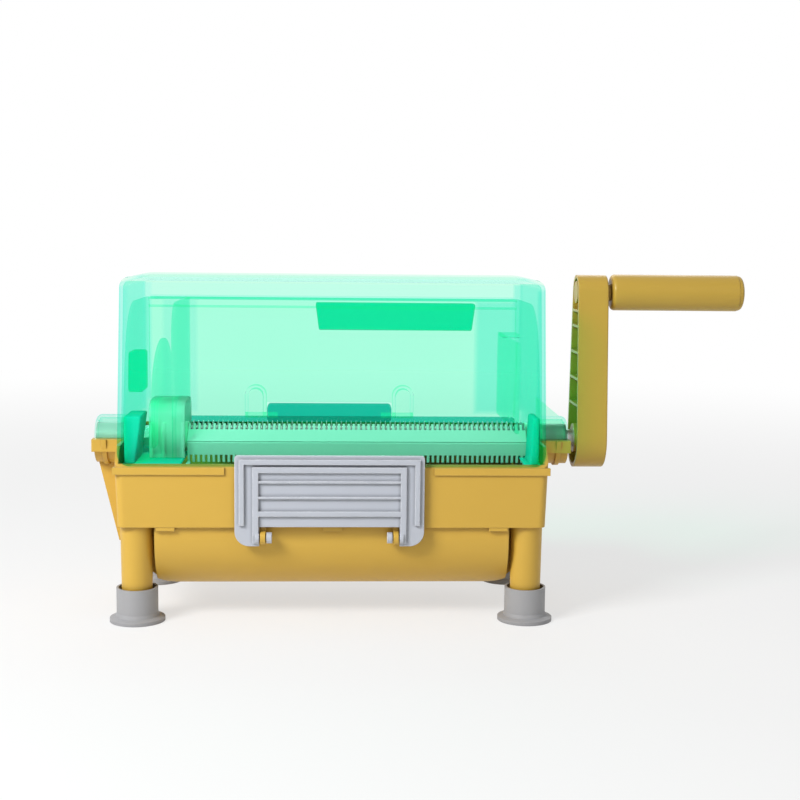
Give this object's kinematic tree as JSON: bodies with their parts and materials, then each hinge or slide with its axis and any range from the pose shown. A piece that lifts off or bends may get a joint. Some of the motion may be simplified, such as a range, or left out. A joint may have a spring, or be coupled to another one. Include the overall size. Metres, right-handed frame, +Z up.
{
  "type": "hand cranked roller cutter",
  "caption": "Hand-cranked roller cutter: a row of thin discs in a lidded hopper case on suction feet, with latch and crank.",
  "frame": {"origin": "on the table under the middle of the blade shaft", "axes": "+X along the shaft towards the crank, -Y towards the front with the latch, +Z up"},
  "size_m": [0.4204, 0.1485, 0.2177],
  "materials": {
    "tan_plastic": "satin moulded",
    "clear_green": "clear moulded",
    "grey_plastic": "satin moulded",
    "grey_rubber": "matte",
    "milky_green": "satin moulded",
    "white_plastic": "satin moulded",
    "steel": "brushed"
  },
  "bodies": {
    "case": {"bearing_bush_left": "white_plastic", "bearing_bush_right": "white_plastic", "body_housing": "tan_plastic", "comb_front": "milky_green", "comb_rear": "milky_green", "comb_screws": "steel", "hinge_pins": "clear_green", "hopper_guard": "clear_green", "leg_front_left": "tan_plastic", "leg_front_right": "tan_plastic", "leg_rear_left": "tan_plastic", "leg_rear_right": "tan_plastic", "lower_trough": "tan_plastic", "suction_foot_front_left": "grey_rubber", "suction_foot_front_right": "grey_rubber", "suction_foot_rear_left": "grey_rubber", "suction_foot_rear_right": "grey_rubber"},
    "lid": {"lid_cover": "clear_green"},
    "latch": {"latch_panel": "grey_plastic", "latch_pivot_pins": "steel"},
    "roller": {"blade_bar": "steel", "cutting_discs": "steel", "end_collar_left": "milky_green", "end_collar_right": "milky_green", "crank_arm": "tan_plastic", "crank_screw": "steel", "handle_pin": "steel"},
    "grip": {"grip_sleeve": "tan_plastic", "grip_end_cap": "tan_plastic"}
  },
  "joints": [
    {"name": "lid_hinge", "type": "hinge", "parent": "case", "child": "lid", "pos_m": [0, 0.079, 0.1143], "axis": [-1, 0, 0], "range_deg": [0, 100]},
    {"name": "latch_hinge", "type": "hinge", "parent": "case", "child": "latch", "pos_m": [-0.0019, -0.0605, 0.056], "axis": [1, 0, 0], "range_deg": [0, 115]},
    {"name": "crank_spin", "type": "hinge", "parent": "case", "child": "roller", "pos_m": [0, 0, 0.1103], "axis": [1, 0, 0], "continuous": true},
    {"name": "grip_spin", "type": "hinge", "parent": "roller", "child": "grip", "pos_m": [0.2233, 0, 0.206], "axis": [1, 0, 0], "continuous": true}
  ]
}
